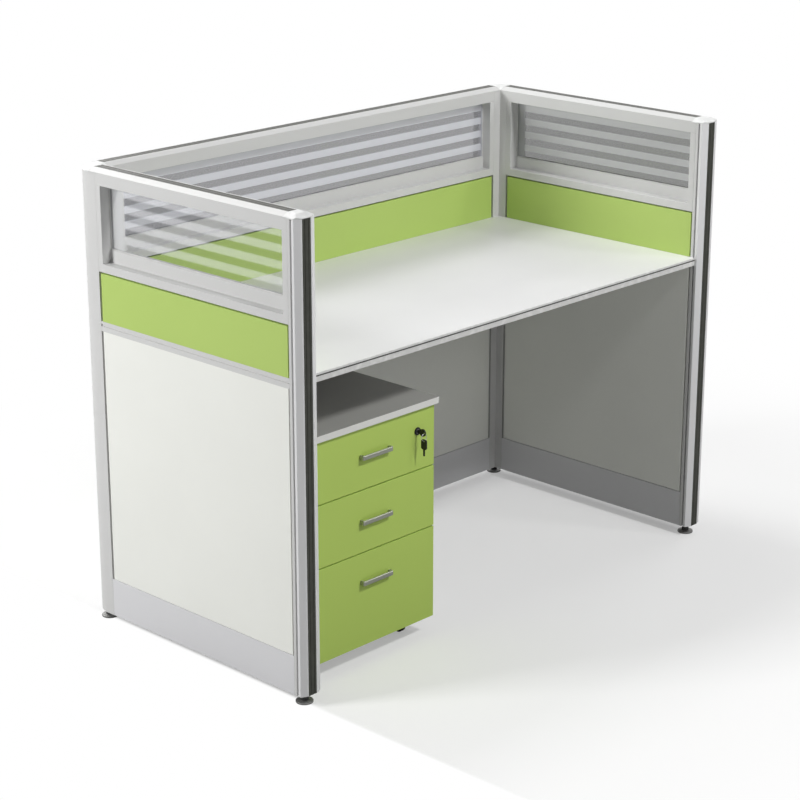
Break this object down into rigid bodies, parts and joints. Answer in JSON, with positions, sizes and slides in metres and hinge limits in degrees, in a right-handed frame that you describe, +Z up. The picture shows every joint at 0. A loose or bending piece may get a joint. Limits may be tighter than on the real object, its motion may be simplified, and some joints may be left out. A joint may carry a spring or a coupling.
{
  "type": "cubicle workstation",
  "caption": "Office cubicle workstation: low glazed partition on three sides, hung desk top and a rolling drawer pedestal with lock.",
  "frame": {"origin": "middle of the footprint at floor level, under the levelling feet", "axes": "+X to the sitter's right, +Y towards the rear wall, +Z up; the open front faces -Y"},
  "size_m": [1.46, 0.7336, 1.1105],
  "materials": {
    "frame_grey": "light grey powder coat, satin",
    "cover_silver": "fine satin anodised",
    "cap_white": "moulded, light grey",
    "strip_black": "ribbed, matt",
    "pane": "clear with frosted bands",
    "tile_green": "green laminate, satin",
    "board_white": "white laminate, satin",
    "skirting_grey": "grey powder coat, satin",
    "core_metal": "mill finish",
    "desk_white": "white laminate, satin",
    "steel": "zinc plated",
    "foot_black": "moulded, black",
    "drawer_green": "green laminate, satin",
    "box_white": "white laminate",
    "handle_metal": "satin nickel",
    "lock_black": "black, semi-gloss",
    "wheel_black": "moulded nylon"
  },
  "bodies": {
    "partition": {"rear_left_post": "frame_grey", "rear_right_post": "frame_grey", "front_left_post": "frame_grey", "front_right_post": "frame_grey", "end_covers": "cover_silver", "post_caps": "cap_white", "black_strips": "strip_black", "left_top_rail": "frame_grey", "rear_top_rail": "frame_grey", "right_top_rail": "frame_grey", "left_window_frame": "frame_grey", "rear_window_frame": "frame_grey", "right_window_frame": "frame_grey", "left_glass": "pane", "rear_glass": "pane", "right_glass": "pane", "green_tiles": "tile_green", "transom_rails": "frame_grey", "wall_boards": "board_white", "skirtings": "skirting_grey", "wall_cores": "core_metal", "desk_top": "desk_white", "desk_edge_strip": "desk_white", "desk_brackets": "steel"},
    "pedestal": {"pedestal_top": "board_white", "pedestal_sides": "board_white", "pedestal_back": "board_white", "pedestal_bottom": "board_white", "cabinet_runners": "steel", "lock_strike": "steel", "castor_plates": "steel"},
    "front_left_levelling_foot": {"front_left_foot": "foot_black"},
    "front_right_levelling_foot": {"front_right_foot": "foot_black"},
    "rear_left_levelling_foot": {"rear_left_foot": "foot_black"},
    "rear_right_levelling_foot": {"rear_right_foot": "foot_black"},
    "top_drawer": {"top_drawer_front": "drawer_green", "top_drawer_box": "box_white", "top_drawer_handle": "handle_metal", "top_drawer_runners": "steel", "lock_barrel": "lock_black"},
    "middle_drawer": {"middle_drawer_front": "drawer_green", "middle_drawer_box": "box_white", "middle_drawer_handle": "handle_metal", "middle_drawer_runners": "steel"},
    "bottom_drawer": {"bottom_drawer_front": "drawer_green", "bottom_drawer_box": "box_white", "bottom_drawer_handle": "handle_metal", "bottom_drawer_runners": "steel"},
    "lock_cylinder": {"lock_plug": "steel"},
    "turning_key": {"key": "lock_black"},
    "hanging_key": {"key_ring": "steel", "spare_key": "lock_black"},
    "front_left_castor": {"front_left_fork": "foot_black"},
    "front_left_roller": {"front_left_wheel": "wheel_black"},
    "front_right_castor": {"front_right_fork": "foot_black"},
    "front_right_roller": {"front_right_wheel": "wheel_black"},
    "rear_left_castor": {"rear_left_fork": "foot_black"},
    "rear_left_roller": {"rear_left_wheel": "wheel_black"},
    "rear_right_castor": {"rear_right_fork": "foot_black"},
    "rear_right_roller": {"rear_right_wheel": "wheel_black"}
  },
  "joints": [
    {"name": "pedestal_roll", "type": "slide", "parent": "partition", "child": "pedestal", "axis": [0, -1, 0], "range_m": [0, 0.45]},
    {"name": "front_left_foot_turn", "type": "hinge", "parent": "partition", "child": "front_left_levelling_foot", "pos_m": [-0.7, -0.33975, 0.026], "axis": [0, 0, 1], "continuous": true},
    {"name": "front_right_foot_turn", "type": "hinge", "parent": "partition", "child": "front_right_levelling_foot", "pos_m": [0.7, -0.33975, 0.026], "axis": [0, 0, 1], "continuous": true},
    {"name": "rear_left_foot_turn", "type": "hinge", "parent": "partition", "child": "rear_left_levelling_foot", "pos_m": [-0.7, 0.33675, 0.026], "axis": [0, 0, 1], "continuous": true},
    {"name": "rear_right_foot_turn", "type": "hinge", "parent": "partition", "child": "rear_right_levelling_foot", "pos_m": [0.7, 0.33675, 0.026], "axis": [0, 0, 1], "continuous": true},
    {"name": "top_drawer_slide", "type": "slide", "parent": "pedestal", "child": "top_drawer", "axis": [0, -1, 0], "range_m": [0, 0.35]},
    {"name": "middle_drawer_slide", "type": "slide", "parent": "pedestal", "child": "middle_drawer", "axis": [0, -1, 0], "range_m": [0, 0.35]},
    {"name": "bottom_drawer_slide", "type": "slide", "parent": "pedestal", "child": "bottom_drawer", "axis": [0, -1, 0], "range_m": [0, 0.35]},
    {"name": "lock_turn", "type": "hinge", "parent": "top_drawer", "child": "lock_cylinder", "pos_m": [-0.291, -0.29495, 0.52], "axis": [0, 1, 0], "range_deg": [0, 90]},
    {"name": "key_pull", "type": "slide", "parent": "lock_cylinder", "child": "turning_key", "axis": [0, -1, 0], "range_m": [0, 0.03]},
    {"name": "hanging_key_swing", "type": "hinge", "parent": "turning_key", "child": "hanging_key", "pos_m": [-0.291, -0.31645, 0.52], "axis": [1, 0, 0], "range_deg": [-70, 10]},
    {"name": "front_left_castor_swivel", "type": "hinge", "parent": "pedestal", "child": "front_left_castor", "pos_m": [-0.576, -0.23895, 0.045], "axis": [0, 0, 1], "continuous": true},
    {"name": "front_left_wheel_spin", "type": "hinge", "parent": "front_left_castor", "child": "front_left_roller", "pos_m": [-0.576, -0.22995, 0.017], "axis": [1, 0, 0], "continuous": true},
    {"name": "front_right_castor_swivel", "type": "hinge", "parent": "pedestal", "child": "front_right_castor", "pos_m": [-0.284, -0.23895, 0.045], "axis": [0, 0, 1], "continuous": true},
    {"name": "front_right_wheel_spin", "type": "hinge", "parent": "front_right_castor", "child": "front_right_roller", "pos_m": [-0.284, -0.22995, 0.017], "axis": [1, 0, 0], "continuous": true},
    {"name": "rear_left_castor_swivel", "type": "hinge", "parent": "pedestal", "child": "rear_left_castor", "pos_m": [-0.576, 0.16805, 0.045], "axis": [0, 0, 1], "continuous": true},
    {"name": "rear_left_wheel_spin", "type": "hinge", "parent": "rear_left_castor", "child": "rear_left_roller", "pos_m": [-0.576, 0.17705, 0.017], "axis": [1, 0, 0], "continuous": true},
    {"name": "rear_right_castor_swivel", "type": "hinge", "parent": "pedestal", "child": "rear_right_castor", "pos_m": [-0.284, 0.16805, 0.045], "axis": [0, 0, 1], "continuous": true},
    {"name": "rear_right_wheel_spin", "type": "hinge", "parent": "rear_right_castor", "child": "rear_right_roller", "pos_m": [-0.284, 0.17705, 0.017], "axis": [1, 0, 0], "continuous": true}
  ]
}
